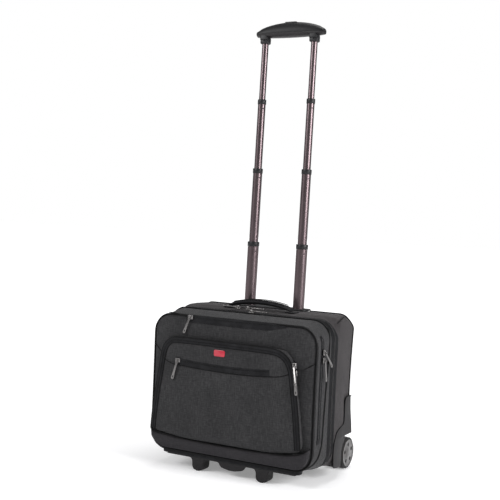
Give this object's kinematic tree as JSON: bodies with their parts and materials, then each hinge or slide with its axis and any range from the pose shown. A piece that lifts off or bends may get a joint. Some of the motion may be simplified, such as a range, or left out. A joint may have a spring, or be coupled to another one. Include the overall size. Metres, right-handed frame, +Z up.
{
  "type": "rolling laptop case",
  "caption": "Soft rolling case for a laptop, with an opening front section, a telescopic pull handle, two wheels, two front feet and zipped pockets.",
  "frame": {"origin": "on the floor under the middle of the case's bounding box", "axes": "+Z up, +X across the case, -Y is the front with the pockets, +Y is the side with the wheels"},
  "size_m": [0.4196, 0.3176, 1.0512],
  "materials": {
    "melange_fabric": "charcoal melange woven polyester",
    "black_webbing": "black woven nylon",
    "black_plastic": "black moulded, fine grain",
    "grey_plastic": "dark grey satin moulded",
    "bronze_tube": "dark bronze anodised, glossy",
    "black_nickel": "black nickel plated zinc",
    "steel": "turned steel",
    "rubber": "solid black tread",
    "red_enamel": "plain red enamel plate"
  },
  "bodies": {
    "case": {"rear_shell": "melange_fabric", "lining_panel": "black_webbing", "base_tray": "black_plastic", "lower_tube_bracket": "black_plastic", "wheel_housing_left": "black_plastic", "wheel_housing_right": "black_plastic", "axle_left": "steel", "axle_right": "steel", "trolley_bezel": "black_plastic", "outer_tube_left": "bronze_tube", "outer_tube_right": "bronze_tube", "carry_handle": "black_webbing"},
    "front_section": {"front_shell": "melange_fabric", "organiser_panel": "black_webbing", "front_pocket": "melange_fabric", "badge": "red_enamel", "foot_left": "black_plastic", "foot_right": "black_plastic", "bottom_grab_lip": "black_plastic"},
    "handle_stage_1": {"stage_1_tube_left": "bronze_tube", "stage_1_tube_right": "bronze_tube", "stage_1_collar_left": "black_plastic", "stage_1_collar_right": "black_plastic"},
    "handle_stage_2": {"stage_2_tube_left": "bronze_tube", "stage_2_tube_right": "bronze_tube", "stage_2_collar_left": "black_plastic", "stage_2_collar_right": "black_plastic"},
    "handle_stage_3": {"stage_3_tube_left": "bronze_tube", "stage_3_tube_right": "bronze_tube", "stage_3_collar_left": "black_plastic", "stage_3_collar_right": "black_plastic"},
    "handle_stage_4": {"stage_4_tube_left": "bronze_tube", "stage_4_tube_right": "bronze_tube", "grip_socket_left": "black_plastic", "grip_socket_right": "black_plastic", "grip_underside": "grey_plastic", "grip_top": "black_plastic"},
    "button": {"grip_button": "grey_plastic"},
    "wheel_left": {"tyre_left": "rubber", "hub_left": "grey_plastic"},
    "wheel_right": {"tyre_right": "rubber", "hub_right": "grey_plastic"},
    "top_pocket_zip_slider": {"top_pocket_zip_slider": "black_nickel"},
    "top_pocket_zip_pull": {"top_pocket_zip_pull": "black_nickel"},
    "wide_pocket_zip_slider": {"wide_pocket_zip_slider": "black_nickel"},
    "wide_pocket_zip_pull": {"wide_pocket_zip_pull": "black_nickel"},
    "front_pocket_zip_upper_slider": {"front_pocket_zip_upper_slider": "black_nickel"},
    "front_pocket_zip_upper_pull": {"front_pocket_zip_upper_pull": "black_nickel"},
    "front_pocket_zip_lower_slider": {"front_pocket_zip_lower_slider": "black_nickel"},
    "front_pocket_zip_lower_pull": {"front_pocket_zip_lower_pull": "black_nickel"},
    "side_zip_upper_slider": {"side_zip_upper_slider": "black_nickel"},
    "side_zip_upper_pull": {"side_zip_upper_pull": "black_nickel"},
    "side_zip_lower_slider": {"side_zip_lower_slider": "black_nickel"},
    "side_zip_lower_pull": {"side_zip_lower_pull": "black_nickel"},
    "main_zip_left_slider": {"main_zip_left_slider": "black_nickel"},
    "main_zip_left_pull": {"main_zip_left_pull": "black_nickel"},
    "main_zip_right_slider": {"main_zip_right_slider": "black_nickel"},
    "main_zip_right_pull": {"main_zip_right_pull": "black_nickel"},
    "laptop_zip_slider": {"laptop_zip_slider": "black_nickel"},
    "laptop_zip_pull": {"laptop_zip_pull": "black_nickel"}
  },
  "joints": [
    {"name": "front_opening", "type": "hinge", "parent": "case", "child": "front_section", "pos_m": [0, -0.035, 0.031], "axis": [1, 0, 0], "range_deg": [0, 90]},
    {"name": "stage_1_slide", "type": "slide", "parent": "case", "child": "handle_stage_1", "axis": [0, 0.0332, 0.9995], "range_m": [-0.1385, 0]},
    {"name": "stage_2_slide", "type": "slide", "parent": "handle_stage_1", "child": "handle_stage_2", "axis": [0, 0.0332, 0.9995], "range_m": [-0.165, 0]},
    {"name": "stage_3_slide", "type": "slide", "parent": "handle_stage_2", "child": "handle_stage_3", "axis": [0, 0.0332, 0.9995], "range_m": [-0.1545, 0]},
    {"name": "stage_4_slide", "type": "slide", "parent": "handle_stage_3", "child": "handle_stage_4", "axis": [0, 0.0332, 0.9995], "range_m": [-0.1333, 0]},
    {"name": "button_press", "type": "slide", "parent": "handle_stage_4", "child": "button", "axis": [0, 0.0332, 0.9995], "range_m": [-0.003, 0], "stiffness_N_per_m": 400},
    {"name": "wheel_left_spin", "type": "hinge", "parent": "case", "child": "wheel_left", "pos_m": [-0.1715, 0.117, 0.037], "axis": [1, 0, 0], "continuous": true},
    {"name": "wheel_right_spin", "type": "hinge", "parent": "case", "child": "wheel_right", "pos_m": [0.1715, 0.117, 0.037], "axis": [1, 0, 0], "continuous": true},
    {"name": "top_pocket_zip_slide", "type": "slide", "parent": "front_section", "child": "top_pocket_zip_slider", "axis": [1, 0, 0], "range_m": [0, 0.22]},
    {"name": "top_pocket_zip_pull_swing", "type": "hinge", "parent": "top_pocket_zip_slider", "child": "top_pocket_zip_pull", "pos_m": [-0.109, -0.1357, 0.3495], "axis": [-0.9326, 0, 0.361], "range_deg": [0, 160]},
    {"name": "wide_pocket_zip_slide", "type": "slide", "parent": "front_section", "child": "wide_pocket_zip_slider", "axis": [1, 0, 0], "range_m": [0, 0.23]},
    {"name": "wide_pocket_zip_pull_swing", "type": "hinge", "parent": "wide_pocket_zip_slider", "child": "wide_pocket_zip_pull", "pos_m": [-0.13, -0.148, 0.2505], "axis": [-0.9656, 0, 0.2599], "range_deg": [0, 160]},
    {"name": "front_pocket_zip_upper_slide", "type": "slide", "parent": "front_section", "child": "front_pocket_zip_upper_slider", "axis": [-0.155, 0, 0.9879], "range_m": [0, 0.008]},
    {"name": "front_pocket_zip_upper_pull_swing", "type": "hinge", "parent": "front_pocket_zip_upper_slider", "child": "front_pocket_zip_upper_pull", "pos_m": [0.1625, -0.148, 0.2705], "axis": [-0.9487, 0, -0.3162], "range_deg": [0, 160]},
    {"name": "front_pocket_zip_lower_slide", "type": "slide", "parent": "front_section", "child": "front_pocket_zip_lower_slider", "axis": [-0.155, 0, 0.9879], "range_m": [-0.14, 0]},
    {"name": "front_pocket_zip_lower_pull_swing", "type": "hinge", "parent": "front_pocket_zip_lower_slider", "child": "front_pocket_zip_lower_pull", "pos_m": [0.165, -0.148, 0.255], "axis": [-0.9915, 0, -0.1302], "range_deg": [0, 20]},
    {"name": "side_zip_upper_slide", "type": "slide", "parent": "front_section", "child": "side_zip_upper_slider", "axis": [0, 0, 1], "range_m": [0, 0.016]},
    {"name": "side_zip_upper_pull_swing", "type": "hinge", "parent": "side_zip_upper_slider", "child": "side_zip_upper_pull", "pos_m": [0.2122, -0.0965, 0.299], "axis": [0, -0.6712, -0.7413], "range_deg": [0, 160]},
    {"name": "side_zip_lower_slide", "type": "slide", "parent": "front_section", "child": "side_zip_lower_slider", "axis": [0, 0, 1], "range_m": [-0.16, 0]},
    {"name": "side_zip_lower_pull_swing", "type": "hinge", "parent": "side_zip_lower_slider", "child": "side_zip_lower_pull", "pos_m": [0.2122, -0.0965, 0.282], "axis": [0, -0.9755, -0.2201], "range_deg": [0, 160]},
    {"name": "main_zip_left_slide", "type": "slide", "parent": "case", "child": "main_zip_left_slider", "axis": [1, 0, 0], "range_m": [-0.1, 0]},
    {"name": "main_zip_left_pull_swing", "type": "hinge", "parent": "main_zip_left_slider", "child": "main_zip_left_pull", "pos_m": [-0.04, -0.035, 0.3727], "axis": [0, 1, 0], "range_deg": [0, 160]},
    {"name": "main_zip_right_slide", "type": "slide", "parent": "case", "child": "main_zip_right_slider", "axis": [1, 0, 0], "range_m": [0, 0.1]},
    {"name": "main_zip_right_pull_swing", "type": "hinge", "parent": "main_zip_right_slider", "child": "main_zip_right_pull", "pos_m": [-0.014, -0.035, 0.3727], "axis": [0, -1, 0], "range_deg": [0, 160]},
    {"name": "laptop_zip_slide", "type": "slide", "parent": "front_section", "child": "laptop_zip_slider", "axis": [1, 0, 0], "range_m": [0, 0.1]},
    {"name": "laptop_zip_pull_swing", "type": "hinge", "parent": "laptop_zip_slider", "child": "laptop_zip_pull", "pos_m": [0.004, -0.052, 0.3677], "axis": [0, -1, 0], "range_deg": [0, 160]}
  ]
}
